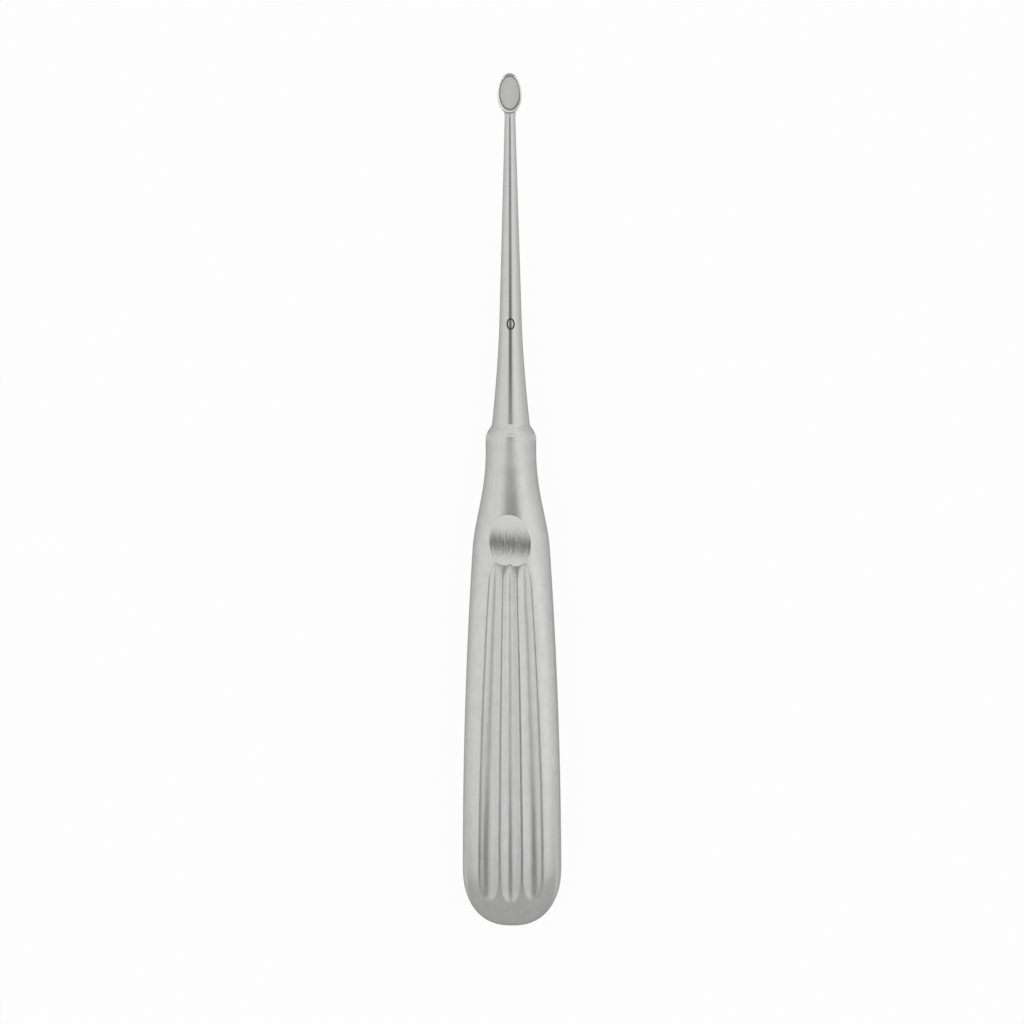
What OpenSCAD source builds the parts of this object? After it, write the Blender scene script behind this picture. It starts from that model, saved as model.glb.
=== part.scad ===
// Bone curette: a forged shank with a small oval sharp spoon at its end,
// whose tang is brazed into the neck of a hollow, fluted steel handle.
// The instrument lies on its back along Y, with the spoon at +Y and the spoon's mouth up.
// All sizes are in millimetres.

/* [Instrument] */
// Length from the butt of the handle to the tip of the spoon
overall_length = 170; // [160:1:190]

/* [Handle] */
// Length from the butt to the face that the shank sits on
handle_length = 98.2; // [92:0.2:106]
// Width across the widest place, near the butt
handle_width = 19.6; // [17.6:0.2:22]
// Width where the handle starts to narrow to its neck
waist_width = 15.4; // [13.6:0.1:17]
// Thickness from the front to the back
handle_thickness = 11.2; // [10.4:0.1:13]
// Length of the rounded butt, seen from the front
butt_length = 11.8; // [9:0.1:15]
// Length of the rounded butt, seen from the side
butt_side_length = 10.4; // [8:0.1:13]
// Length over which the handle narrows to its neck
waist_length = 19.4; // [16:0.2:22]
// Length over which it thins towards its neck, seen from the side
thinning_length = 28; // [22:0.5:34]
// Thickness of the steel under the flutes
handle_wall = 1.3; // [1:0.1:1.6]

/* [Neck] */
// Diameter of the round neck
neck_diameter = 10.1; // [9.4:0.1:11]
// Length of the straight end of the neck, seen from the front
neck_length = 3; // [2:0.1:5]
// Thickness from the front to the back just before it drops to the round collar
neck_thickness = 10.9; // [10.4:0.1:11.4]
// Length of that drop
drop_length = 3.6; // [2.6:0.1:5]
// Length of the ground collar at the end of the neck
collar_length = 1.5; // [1.2:0.1:2.4]
// Width of the bevel round the mouth of the neck
mouth_bevel = 0.22; // [0.1:0.02:0.4]
// Length of that bevel along the neck
mouth_bevel_length = 0.45; // [0.2:0.05:0.8]

/* [Flutes] */
// Depth of the middle flute
flute_depth = 0.65; // [0.4:0.05:0.8]
// Depth of the outer flutes
outer_flute_depth = 0.5; // [0.3:0.05:0.7]
// Spacing of the flutes near the butt
flute_pitch = 4.4; // [3.8:0.05:4.6]
// Spacing that the flutes close to at the waist
upper_flute_pitch = 2.55; // [2.3:0.05:2.9]
// Length of the arched run-out below the thumb rest
flute_arch = 3.8; // [3:0.1:7]

/* [Thumb rest] */
// Distance from the mouth of the neck to the middle of the thumb rest
thumb_rest_gap = 21; // [20:0.1:24]
// Radius of the grinding wheel that scoops it out
thumb_rest_radius = 20; // [15:0.5:26]
// Depth of the scoop
thumb_rest_depth = 0.65; // [0.5:0.02:0.9]
// Slant of the scoop across the handle, in degrees
thumb_rest_slant = 5; // [0:1:10]
// Distance from the middle of the thumb rest to the tops of the flutes
thumb_rest_to_flutes = 4.7; // [3.5:0.1:5.5]

/* [Tang] */
// Diameter of the tang that is brazed into the neck
tang_diameter = 6; // [5:0.1:6.6]
// Length of the tang
tang_length = 20; // [16:0.5:24]
// Gap round the tang for the brazing metal
braze_gap = 0.03; // [0.02:0.01:0.06]

/* [Shank] */
// Diameter of the shoulder that sits on the neck
shoulder_diameter = 9.5; // [8.8:0.1:9.6]
// Length of the shoulder
shoulder_length = 2.1; // [1.6:0.1:3]
// Diameter of the shank at the top of the shoulder
shank_root_diameter = 7.5; // [6.6:0.1:8]
// Length over which the root flares out of the taper
flare_length = 20; // [16:0.2:26]
// Diameter that the straight taper would have at the shoulder
taper_diameter = 5.64; // [5:0.02:6.2]
// Diameter of the shank where it meets the heel of the spoon
shank_tip_diameter = 2.1; // [1.8:0.05:2.4]

/* [Spoon] */
// Width of the spoon
spoon_width = 4.8; // [4.4:0.1:5.2]
// Length of the spoon in front of its widest place
spoon_front_length = 4.8; // [4.4:0.1:5.4]
// Length of the spoon behind its widest place
spoon_rear_length = 3.3; // [3:0.1:3.8]
// Height of the cutting edge above the axis of the shank
edge_height = 1.6; // [1.3:0.05:1.9]
// Width of the bevel that sharpens the cutting edge at the sides
edge_bevel = 0.43; // [0.3:0.01:0.6]
// Height of that bevel
edge_bevel_height = 0.3; // [0.2:0.05:0.5]
// Width of the bevel at the tip of the spoon
tip_bevel = 0.7; // [0.5:0.02:0.9]
// Width of the bevel at the heel of the spoon
heel_bevel = 1; // [0.7:0.05:1.2]
// Width of the flat left on the cutting edge
edge_land = 0.05; // [0.03:0.01:0.1]
// Diameter of the heel where it runs into the spoon
heel_diameter = 2.36; // [2.1:0.02:2.5]
// Length over which the shank swells to its heel
heel_length = 1.2; // [0.8:0.1:2]

/* [Hidden] */
$fn = 96;

// Powers of the curves that the outlines follow
butt_power = 2.3;
butt_side_power = 2.6;
taper_power = 1.95;
pitch_power = 1.6;
butt_section_power = 3.4;
waist_section_power = 2.3;
section_fade_power = 5;
arch_power = 2.3;
flare_power = 1.7;

// Places along the instrument, measured from the butt
collar_start = handle_length - mouth_bevel_length - collar_length;
drop_start = collar_start - drop_length;
neck_start = handle_length - mouth_bevel_length - neck_length;
waist_start = neck_start - waist_length;
thumb_rest_at = handle_length - thumb_rest_gap;
flute_top = thumb_rest_at - thumb_rest_to_flutes;
spoon_at = overall_length - spoon_front_length;
shank_end = spoon_at - spoon_rear_length - heel_length / 2;

// The spoon's heights above the axis, and the oval of its cutting edge
bowl_top = edge_height - edge_bevel_height;
bowl_bottom = bowl_top - spoon_width / 2;
hollow_tip = overall_length - tip_bevel;
hollow_heel = spoon_at - spoon_rear_length + heel_bevel;
edge_middle = (hollow_tip + hollow_heel) / 2;
edge_half_length = (hollow_tip - hollow_heel) / 2;
inner_half_width = spoon_width / 2 - edge_bevel;

// Small allowances: the collar stands proud of the neck behind it, and cutters pass their faces
collar_step = 0.02;
tang_play = 1;
tang_bevel = 0.5;
heel_inset = 0.04;
cutter_overrun = 1;

// Number of facets across each part of a section
side_steps = 7;
flute_steps = 8;
hollow_sides = 32;
spoon_sides = 60;
bowl_rings = 9;
hollow_facets = 24;

// Shares of the half width that the flutes may take, and of their full width that they keep in the arch
body_span = 0.74;
neck_span = 0.62;
least_flute_share = 0.3;

// Share of the spacing of the flutes that is ridge, and share of their depth that rounds off its edges
ridge_share = 0.15;
edge_softness = 0.4;

function mix(a, b, t) = a + (b - a) * t;
function clamped(t) = min(1, max(0, t));
function smooth(t) = let (c = clamped(t)) c * c * (3 - 2 * c);
function steps(from, to, count) = [for (i = [1 : count]) mix(from, to, i / count)];
// Stations that lie close together near the start, or near the end
function easing_out(from, to, count) = [for (i = [1 : count]) mix(from, to, 1 - cos(90 * i / count))];
function easing_in(from, to, count) = [for (i = [1 : count]) mix(from, to, sin(90 * i / count))];

// Share of its full size that a rounded end has reached at the distance d from its tip
function rounding(d, length, power) =
    d >= length ? 1 : pow(max(0, 1 - pow(1 - max(0, d) / length, power)), 1 / power);

// How far the body has tapered at s, has narrowed to the neck, has thinned and has dropped to the collar
function body_share(s) = max(0, (s - butt_length) / (waist_start - butt_length));
function necked(s) = smooth((s - waist_start) / waist_length);
function thinned(s) = smooth((s - drop_start + thinning_length) / thinning_length);
function dropped(s) = smooth((s - drop_start) / drop_length);

neck_root = neck_diameter - collar_step;
function half_width(s) =
    mix(mix(handle_width, waist_width, pow(body_share(s), taper_power)), neck_root, necked(s)) / 2
    * rounding(s, butt_length, butt_power);
function full_half_thickness(s) =
    mix(mix(handle_thickness, neck_thickness, thinned(s)), neck_root, dropped(s)) / 2;
function half_thickness(s) = full_half_thickness(s) * rounding(s, butt_side_length, butt_side_power);
function power_at(s) =
    let (faded = pow(clamped(body_share(s)), section_fade_power))
    mix(mix(butt_section_power, waist_section_power, faded), 2, dropped(s));

// Height of the plain section, with no flutes, at the distance x from the middle
function crown(s, x) =
    half_thickness(s) * pow(max(0, 1 - pow(abs(x) / half_width(s), power_at(s))), 1 / power_at(s));

// Spacing of the flutes at s, and half the width of each. They close to an arch, past which there are none.
function pitch(s) =
    let (closed = mix(flute_pitch, upper_flute_pitch, pow(body_share(s), pitch_power)))
    mix(min(closed, body_span * half_width(s) / 1.5), neck_span * half_width(s) / 1.5, necked(s));
function arched(s) = rounding(flute_top - s, flute_arch, arch_power);
function flute_half_width(s) =
    let (opened = smooth((s - flute_top) / (waist_start - flute_top)))
    pitch(s) * (1 - ridge_share) / 2 * max(mix(least_flute_share, 1, opened), arched(s));

// Depth that the flute on one side has at the distance x from the middle. The flutes run on straight
// where the butt falls away, and so they run out there.
function rounded_off(d) =
    edge_softness * pow(clamped((d / edge_softness + 1) / 2), 2) + max(0, d - edge_softness);
function groove(s, x, side) =
    let (
        full = side == 0 ? flute_depth : outer_flute_depth,
        fallen = (full_half_thickness(s) - half_thickness(s)) / full,
        v = (x - side * pitch(s)) / flute_half_width(s)
    )
    full * arched(s) * rounded_off(1 - v * v - fallen);
function depth(s, x) = groove(s, x, -1) + groove(s, x, 0) + groove(s, x, 1);

// Places from +X to -X where one face of a section has its points
function side_columns(s, sign) =
    let (
        power = power_at(s),
        border = pitch(s) + flute_half_width(s),
        turn = acos(pow(border / half_width(s), power / 2)),
        turns = [for (i = [0 : side_steps - 1]) turn * i / side_steps],
        columns = [for (a = turns) sign * half_width(s) * pow(cos(a), 2 / power)]
    )
    sign > 0 ? columns : [for (i = [side_steps - 1 : -1 : 0]) columns[i]];
function flute_columns(s, side) =
    [for (i = [0 : flute_steps]) side * pitch(s) + (1 - 2 * i / flute_steps) * flute_half_width(s)];
function face_columns(s) =
    concat(side_columns(s, 1), flute_columns(s, 1), flute_columns(s, 0), flute_columns(s, -1),
           side_columns(s, -1));

// One closed section of the fluted handle: its front face, and then its back
function handle_section(s) =
    let (columns = face_columns(s), last = len(columns) - 1)
    concat(
        [for (x = columns) [x, s, crown(s, x) - depth(s, x)]],
        [for (i = [last - 1 : -1 : 1]) let (x = columns[i]) [x, s, depth(s, x) - crown(s, x)]]);

// Where the sections are drawn: close together where the shape turns fast
handle_stations = concat(
    easing_out(0, butt_length, 13),
    steps(butt_length, flute_top - flute_arch, 9),
    easing_in(flute_top - flute_arch, flute_top, 6),
    steps(flute_top, waist_start, 1),
    steps(waist_start, drop_start, 9),
    steps(drop_start, collar_start, 4));

// The hollow follows the outside, a wall's thickness under the flutes, and is pointed at both ends
hollow_start = butt_side_length / 2;
hollow_end = (waist_start + neck_start) / 2;
hollow_stations = [for (i = [1 : 11]) mix(hollow_start, hollow_end, (1 - cos(15 * i)) / 2)];
function hollow_section(s) =
    let (
        share = rounding(s - hollow_start, butt_length, 2) * rounding(hollow_end - s, waist_length, 2),
        half_w = (half_width(s) - handle_wall) * share,
        half_t = (half_thickness(s) - handle_wall - flute_depth) * share
    )
    [for (i = [0 : hollow_sides - 1])
        let (a = 360 * i / hollow_sides) [half_w * cos(a), s, half_t * sin(a)]];

// The lowest point of the handle, which the instrument lies on
lowest = min([for (s = handle_stations) for (p = handle_section(s)) p[2]]);

// A closed skin over sections of one point count, that starts at a point and ends at a point or flat
module skin(sections, start, end = undef) {
    sides = len(sections[0]);
    rows = len(sections);
    points = concat([start], [for (section = sections) each section], is_undef(end) ? [] : [end]);
    last = 1 + (rows - 1) * sides;
    faces = concat(
        [for (i = [0 : sides - 1]) [0, 1 + (i + 1) % sides, 1 + i]],
        [for (r = [0 : rows - 2]) for (i = [0 : sides - 1])
            let (a = 1 + r * sides + i, b = 1 + r * sides + (i + 1) % sides)
            each [[a, b, b + sides], [a, b + sides, a + sides]]],
        is_undef(end)
            ? [[for (i = [0 : sides - 1]) last + i]]
            : [for (i = [0 : sides - 1]) [last + i, last + (i + 1) % sides, len(points) - 1]]);
    polyhedron(points = points, faces = faces, convexity = 6);
}

// Turns what is drawn along +Z so that it runs along +Y
module along_y() {
    rotate([-90, 0, 0]) children();
}

// Moves a piece drawn from the butt and about the axis to where it lies on the ground
module placed() {
    translate([0, -overall_length / 2, -lowest]) children();
}

module collar() {
    translate([0, collar_start, 0])
        along_y() {
            cylinder(h = collar_length, d = neck_diameter);
            translate([0, 0, collar_length])
                cylinder(h = mouth_bevel_length, d1 = neck_diameter, d2 = neck_diameter - 2 * mouth_bevel);
        }
}

module tang_socket() {
    depth = tang_length + tang_play;
    translate([0, handle_length - depth, 0])
        along_y()
            cylinder(h = depth + cutter_overrun, d = tang_diameter + 2 * braze_gap);
}

module thumb_rest() {
    height = crown(thumb_rest_at, 0) - thumb_rest_depth + thumb_rest_radius;
    translate([0, thumb_rest_at, height])
        rotate([0, 0, -thumb_rest_slant])
            rotate([0, 90, 0])
                cylinder(h = handle_width, r = thumb_rest_radius, center = true);
}

module handle() {
    color("silver")
        placed()
            difference() {
                union() {
                    skin([for (s = handle_stations) handle_section(s)], [0, 0, 0]);
                    collar();
                }
                skin([for (s = hollow_stations) hollow_section(s)],
                     [0, hollow_start, 0], [0, hollow_end, 0]);
                tang_socket();
                thumb_rest();
            }
}

// Radius of the shank at the distance d from the mouth of the neck
shank_length = shank_end - handle_length;
function shoulder_radius(d) =
    mix(shoulder_diameter, shank_root_diameter, smooth(d / shoulder_length)) / 2;
function shank_radius(d) =
    let (
        above = d - shoulder_length,
        taper = mix(taper_diameter, shank_tip_diameter, above / (shank_length - shoulder_length)),
        flare = (shank_root_diameter - taper_diameter)
            * pow(clamped(1 - above / flare_length), flare_power)
    )
    (taper + flare) / 2;

// Tang, shoulder, flare, taper and heel, turned in one. The heel ends inside the bowl.
module shank_bar() {
    tang_radius = tang_diameter / 2;
    heel_end_radius = -bowl_bottom - heel_inset;
    outline = concat(
        [[0, -tang_length], [tang_radius - tang_bevel, -tang_length],
         [tang_radius, tang_bevel - tang_length], [tang_radius, 0], [shoulder_diameter / 2, 0]],
        [for (d = steps(0, shoulder_length, 8)) [shoulder_radius(d), d]],
        [for (d = steps(shoulder_length, shoulder_length + flare_length, 12)) [shank_radius(d), d]],
        [[shank_tip_diameter / 2, shank_length], [heel_diameter / 2, shank_length + heel_length],
         [heel_end_radius, spoon_at - handle_length], [0, spoon_at - handle_length]]);
    translate([0, handle_length, 0])
        along_y()
            rotate_extrude() polygon(outline);
}

// One level of the bowl, as a ring of points round an egg-shaped oval, seen from above
function oval_ring(half_w, middle, rear, front, height) =
    [for (i = [0 : spoon_sides - 1])
        let (a = -360 * i / spoon_sides)
        [half_w * cos(a), middle + (a < -180 ? front : rear) * sin(a), height]];
function bowl_level(share) =
    oval_ring(share * spoon_width / 2, spoon_at, share * spoon_rear_length, share * spoon_front_length,
              bowl_top - spoon_width / 2 * sqrt(1 - share * share));

// Bowl from its lowest point up to its widest outline, and the bevel from there to the cutting edge
module bowl() {
    levels = [for (i = [1 : bowl_rings]) bowl_level(sin(90 * i / bowl_rings))];
    edge = oval_ring(inner_half_width + edge_land, edge_middle,
                     edge_half_length + edge_land, edge_half_length + edge_land, edge_height);
    skin(concat(levels, [edge]), [0, spoon_at, bowl_bottom], [0, edge_middle, edge_height]);
}

// Hollow of the spoon: half an oval turned about its long axis, at the height of the cutting edge
module spoon_hollow() {
    half = [for (i = [0 : hollow_facets])
        let (a = 180 * i / hollow_facets)
        [i == 0 || i == hollow_facets ? 0 : inner_half_width * sin(a),
         edge_middle - edge_half_length * cos(a)]];
    translate([0, 0, edge_height])
        along_y()
            rotate_extrude() polygon(half);
}

module spoon_shank() {
    color("gainsboro")
        placed()
            difference() {
                union() {
                    shank_bar();
                    bowl();
                }
                spoon_hollow();
            }
}

handle();
spoon_shank();
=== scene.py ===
"""Looks of a bone curette: a fluted satin handle, a turned shank, a sharp spoon and its size mark."""
import dataclasses
import logging
import math
from dataclasses import dataclass
from enum import Enum
from typing import ClassVar, Optional, Union

import bpy
from mathutils import Matrix, Vector


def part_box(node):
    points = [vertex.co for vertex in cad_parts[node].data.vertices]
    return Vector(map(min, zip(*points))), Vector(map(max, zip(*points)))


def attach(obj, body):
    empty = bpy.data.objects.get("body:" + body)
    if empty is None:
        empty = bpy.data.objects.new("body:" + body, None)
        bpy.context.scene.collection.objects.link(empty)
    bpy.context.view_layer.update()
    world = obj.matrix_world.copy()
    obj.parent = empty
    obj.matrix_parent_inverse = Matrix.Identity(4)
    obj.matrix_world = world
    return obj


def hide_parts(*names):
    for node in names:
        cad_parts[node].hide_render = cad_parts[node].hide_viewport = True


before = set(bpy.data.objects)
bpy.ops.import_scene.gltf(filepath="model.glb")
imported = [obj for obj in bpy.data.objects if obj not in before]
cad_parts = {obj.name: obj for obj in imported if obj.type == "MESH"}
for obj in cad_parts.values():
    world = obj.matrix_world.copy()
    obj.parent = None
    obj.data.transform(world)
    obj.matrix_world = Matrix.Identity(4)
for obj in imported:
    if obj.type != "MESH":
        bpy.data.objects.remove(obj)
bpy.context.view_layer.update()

log = logging.getLogger("curette")

MILLIMETRE = 0.001
QUARTER_TURN = math.pi / 2
FULL_TURN = 2 * math.pi
MERGE_DISTANCE = 0.000001
COARSE = "coarse"

Number = Union[float, "Formula"]
Tree = Union[bpy.types.GeometryNodeTree, bpy.types.ShaderNodeTree]


class Slot(Enum):
    """Material slots of the record; the pieces here make their own finishes and don't use them."""

    HANDLE = "handle_steel"
    SHANK = "shank_steel"


class Cut(Enum):
    """What a boolean node does with the second mesh."""

    JOIN = "UNION"
    REMOVE = "DIFFERENCE"


# Formulas


class Formula:
    """A number in a node tree that takes part in sums, products and powers."""

    def __init__(self, tree: Tree, socket: bpy.types.NodeSocket) -> None:
        """Wraps an output of a node.

        Args:
            tree: The node tree that the socket belongs to.
            socket: The output that carries the number.
        """
        self.tree = tree
        self.socket = socket

    def apply(self, operation: str, *others: Number, clamp: bool = False) -> "Formula":
        """Adds a Math node on this number.

        Args:
            operation: Blender's name of the operation.
            others: The second and third operands.
            clamp: Whether the result is held between 0 and 1.

        Returns:
            The result as a formula.
        """
        node = self.tree.nodes.new("ShaderNodeMath")
        node.operation = operation
        node.use_clamp = clamp
        for port, value in zip(node.inputs, (self, *others)):
            feed(self.tree, port, value)
        return Formula(self.tree, node.outputs[0])

    def constant(self, value: Number) -> "Formula":
        """Gives a plain number as a formula of the same tree."""
        if isinstance(value, Formula):
            return value
        node = self.tree.nodes.new("ShaderNodeValue")
        node.outputs[0].default_value = value
        return Formula(self.tree, node.outputs[0])

    def __add__(self, other: Number) -> "Formula":
        """Adds a number."""
        return self.apply("ADD", other)

    def __radd__(self, other: Number) -> "Formula":
        """Adds to a number."""
        return self.apply("ADD", other)

    def __sub__(self, other: Number) -> "Formula":
        """Takes a number away."""
        return self.apply("SUBTRACT", other)

    def __rsub__(self, other: Number) -> "Formula":
        """Takes this away from a number."""
        return self.constant(other).apply("SUBTRACT", self)

    def __mul__(self, other: Number) -> "Formula":
        """Multiplies by a number."""
        return self.apply("MULTIPLY", other)

    def __rmul__(self, other: Number) -> "Formula":
        """Multiplies a number."""
        return self.apply("MULTIPLY", other)

    def __truediv__(self, other: Number) -> "Formula":
        """Divides by a number."""
        return self.apply("DIVIDE", other)

    def __rtruediv__(self, other: Number) -> "Formula":
        """Divides a number by this."""
        return self.constant(other).apply("DIVIDE", self)

    def __pow__(self, power: Number) -> "Formula":
        """Raises this to a power."""
        return self.apply("POWER", power)

    def __rpow__(self, base: Number) -> "Formula":
        """Raises a number to this power."""
        return self.constant(base).apply("POWER", self)

    def __neg__(self) -> "Formula":
        """Turns the sign round."""
        return self.apply("MULTIPLY", -1.0)


def feed(tree: Tree, port: bpy.types.NodeSocket, value: object) -> None:
    """Links a formula or an output into a node's input, or sets the input to a plain value.

    Args:
        tree: The node tree of the node.
        port: The input.
        value: A formula, an output socket or a plain value.
    """
    if isinstance(value, Formula):
        tree.links.new(value.socket, port)
    elif isinstance(value, bpy.types.NodeSocket):
        tree.links.new(value, port)
    else:
        port.default_value = value


def unary(value: Number, operation: str, plain: object) -> Number:
    """Applies a function of one number to a formula or to a plain number.

    Args:
        value: The number.
        operation: The Math node's name of the function.
        plain: The same function for a plain number.

    Returns:
        The function's value.
    """
    return value.apply(operation) if isinstance(value, Formula) else plain(value)


def sine(angle: Number) -> Number:
    """Gives the sine of an angle in radians."""
    return unary(angle, "SINE", math.sin)


def cosine(angle: Number) -> Number:
    """Gives the cosine of an angle in radians."""
    return unary(angle, "COSINE", math.cos)


def arc_cosine(value: Number) -> Number:
    """Gives the angle in radians whose cosine is the value."""
    return unary(value, "ARCCOSINE", math.acos)


def absolute(value: Number) -> Number:
    """Gives the value without its sign."""
    return unary(value, "ABSOLUTE", abs)


def lesser(a: Number, b: Number) -> Number:
    """Gives the lesser of two numbers."""
    return a.apply("MINIMUM", b) if isinstance(a, Formula) else min(a, b)


def greater(a: Number, b: Number) -> Number:
    """Gives the greater of two numbers."""
    return a.apply("MAXIMUM", b) if isinstance(a, Formula) else max(a, b)


def clamped(value: Number) -> Number:
    """Holds a number between 0 and 1."""
    if isinstance(value, Formula):
        return value.apply("ADD", 0.0, clamp=True)
    return min(1.0, max(0.0, value))


def mix(a: Number, b: Number, share: Number) -> Number:
    """Goes from a to b as the share goes from 0 to 1."""
    return a + (b - a) * share


def smooth(value: Number) -> Number:
    """Goes from 0 to 1 with the value, with no kink at either end."""
    held = clamped(value)
    return held * held * (3.0 - 2.0 * held)


def rounding(distance: Number, length: Number, power: Number) -> Number:
    """Gives the share of its full size that a rounded end has reached.

    Args:
        distance: Distance from the tip of the end.
        length: Length over which the end is rounded.
        power: Power of the curve, 2 for an ellipse.

    Returns:
        A share from 0 to 1.
    """
    left = 1.0 - clamped(distance / length)
    return clamped(1.0 - left ** power) ** (1.0 / power)


def rounded_off(height: Number, softness: Number) -> Number:
    """Turns a height above the edge of a flute into a depth that starts with no kink.

    Args:
        height: Share of the flute's depth, below 0 outside the flute.
        softness: Share of the depth over which the edge is rounded.

    Returns:
        The share of the depth, 0 well outside the flute.
    """
    near = clamped((height / softness + 1.0) / 2.0)
    return near * near * softness + greater(height - softness, 0.0)


# Geometry Nodes trees


class ShapeTree:
    """A Geometry Nodes tree that is written as formulas, with a named input for each size."""

    def __init__(self, name: str, sizes: Optional[dict[str, float]] = None) -> None:
        """Makes the tree with its inputs and its output.

        Args:
            name: Name of the node group.
            sizes: Each named input with the value that the piece gives it.
        """
        self.group = bpy.data.node_groups.new(name, "GeometryNodeTree")
        self.sizes = dict(sizes or {})
        self.group.interface.new_socket("Geometry", in_out="INPUT", socket_type="NodeSocketGeometry")
        self.group.interface.new_socket("Geometry", in_out="OUTPUT", socket_type="NodeSocketGeometry")
        self.sockets = {}
        for label, value in self.sizes.items():
            socket = self.group.interface.new_socket(
                label, in_out="INPUT", socket_type="NodeSocketFloat")
            socket.default_value = value
            self.sockets[label] = socket.identifier
        self.entry = self.group.nodes.new("NodeGroupInput")
        self.exit = self.group.nodes.new("NodeGroupOutput")

    def formulas(self) -> dict[str, Formula]:
        """Gives every named input as a formula."""
        return {label: Formula(self.group, self.entry.outputs[label]) for label in self.sizes}

    def node(self, kind: str, inputs: dict[str, object], **settings: object) -> bpy.types.Node:
        """Adds a node.

        Args:
            kind: Blender's name of the kind of node.
            inputs: Each input's name, with a plain value, a formula or an output to link.
            settings: The node's own settings.

        Returns:
            The new node.
        """
        made = self.group.nodes.new(kind)
        for key, value in settings.items():
            setattr(made, key, value)
        for label, value in inputs.items():
            feed(self.group, made.inputs[label], value)
        return made

    def axes(self, vector: bpy.types.NodeSocket) -> tuple[Formula, Formula, Formula]:
        """Splits a vector into its three numbers."""
        parts = self.node("ShaderNodeSeparateXYZ", {"Vector": vector})
        return tuple(Formula(self.group, output) for output in parts.outputs)

    def position(self) -> tuple[Formula, Formula, Formula]:
        """Gives the place of each point or face as three formulas."""
        return self.axes(self.node("GeometryNodeInputPosition", {}).outputs[0])

    def vector(self, x: Number, y: Number, z: Number) -> bpy.types.NodeSocket:
        """Joins three numbers into a vector."""
        return self.node("ShaderNodeCombineXYZ", {"X": x, "Y": y, "Z": z}).outputs[0]

    def grid(self, columns: int, rows: int) -> tuple[bpy.types.NodeSocket, Formula, Formula]:
        """Adds a flat grid, whose points are told apart by their column and row.

        Args:
            columns: Number of faces from side to side.
            rows: Number of faces from end to end.

        Returns:
            The grid, and each point's column and row, counted from 0.
        """
        made = self.node("GeometryNodeMeshGrid", {
            "Size X": float(columns), "Size Y": float(rows),
            "Vertices X": columns + 1, "Vertices Y": rows + 1})
        x, y, _ = self.position()
        return made.outputs["Mesh"], x + columns / 2, y + rows / 2

    def shaped(self, mesh: bpy.types.NodeSocket, place: bpy.types.NodeSocket,
               flip: bool = False) -> bpy.types.NodeSocket:
        """Moves the points of a grid to their places and closes its seam and poles.

        Args:
            mesh: The grid.
            place: Each point's place.
            flip: Whether the faces are turned over, so that they point outwards.

        Returns:
            The closed mesh.
        """
        moved = self.node("GeometryNodeSetPosition", {"Geometry": mesh, "Position": place})
        closed = self.node("GeometryNodeMergeByDistance",
                           {"Geometry": moved.outputs[0], "Distance": MERGE_DISTANCE}).outputs[0]
        if flip:
            closed = self.node("GeometryNodeFlipFaces", {"Mesh": closed}).outputs[0]
        return closed

    def combined(self, mesh: bpy.types.NodeSocket, other: bpy.types.NodeSocket,
                 cut: Cut) -> bpy.types.NodeSocket:
        """Joins a closed mesh to another, or cuts it out.

        Args:
            mesh: The mesh that is kept.
            other: The mesh that is joined or cut out.
            cut: Which of the two is done.

        Returns:
            The resulting mesh.
        """
        made = self.node("GeometryNodeMeshBoolean", {}, operation=cut.value, solver="EXACT")
        self.group.links.new(other, made.inputs["Mesh 2"])
        if cut is Cut.REMOVE:
            self.group.links.new(mesh, made.inputs["Mesh 1"])
        else:
            self.group.links.new(mesh, made.inputs["Mesh 2"])
        return made.outputs["Mesh"]

    def painted(self, mesh: bpy.types.NodeSocket, material: bpy.types.Material,
                where: object = True) -> bpy.types.NodeSocket:
        """Gives the faces of a mesh a material, all of them or those that a formula picks."""
        return self.node("GeometryNodeSetMaterial", {
            "Geometry": mesh, "Selection": where, "Material": material}).outputs[0]

    def coarsened(self, mesh: bpy.types.NodeSocket, share: Number) -> bpy.types.NodeSocket:
        """Stores on each point how coarse its finish is, from 0 to 1."""
        return self.node("GeometryNodeStoreNamedAttribute", {
            "Geometry": mesh, "Name": COARSE, "Value": share}, data_type="FLOAT", domain="POINT").outputs[0]

    def deliver(self, mesh: bpy.types.NodeSocket) -> None:
        """Sends a mesh to the tree's output."""
        self.group.links.new(mesh, self.exit.inputs[0])

    def realized(self, mesh: bpy.types.NodeSocket) -> bpy.types.NodeSocket:
        """Turns instances into real geometry."""
        return self.node("GeometryNodeRealizeInstances", {"Geometry": mesh}).outputs[0]

    def build(self, name: str, start: Optional[bpy.types.Mesh] = None) -> bpy.types.Object:
        """Runs the tree and keeps what it makes as a plain mesh.

        Args:
            name: Name of the piece.
            start: Mesh that the tree starts from, if it needs one.

        Returns:
            The piece, with no modifier left on it.
        """
        piece = bpy.data.objects.new(name, start or bpy.data.meshes.new(name))
        bpy.context.scene.collection.objects.link(piece)
        modifier = piece.modifiers.new("shape", "NODES")
        modifier.node_group = self.group
        for label, value in self.sizes.items():
            modifier[self.sockets[label]] = value
        depsgraph = bpy.context.evaluated_depsgraph_get()
        mesh = bpy.data.meshes.new_from_object(piece.evaluated_get(depsgraph))
        mesh.name = name
        if mesh.materials and mesh.materials[0] is None:
            mesh.materials.pop(index=0)
        piece.modifiers.clear()
        piece.data = mesh
        return piece


def soften(mesh: bpy.types.Mesh, sharp_from: float) -> None:
    """Shades a mesh smooth, apart from its sharp edges.

    Args:
        mesh: The mesh.
        sharp_from: Angle between two faces, in radians, past which their edge stays sharp.
    """
    mesh.shade_smooth()
    mesh.set_sharp_from_angle(angle=sharp_from)


# Finishes


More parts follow.
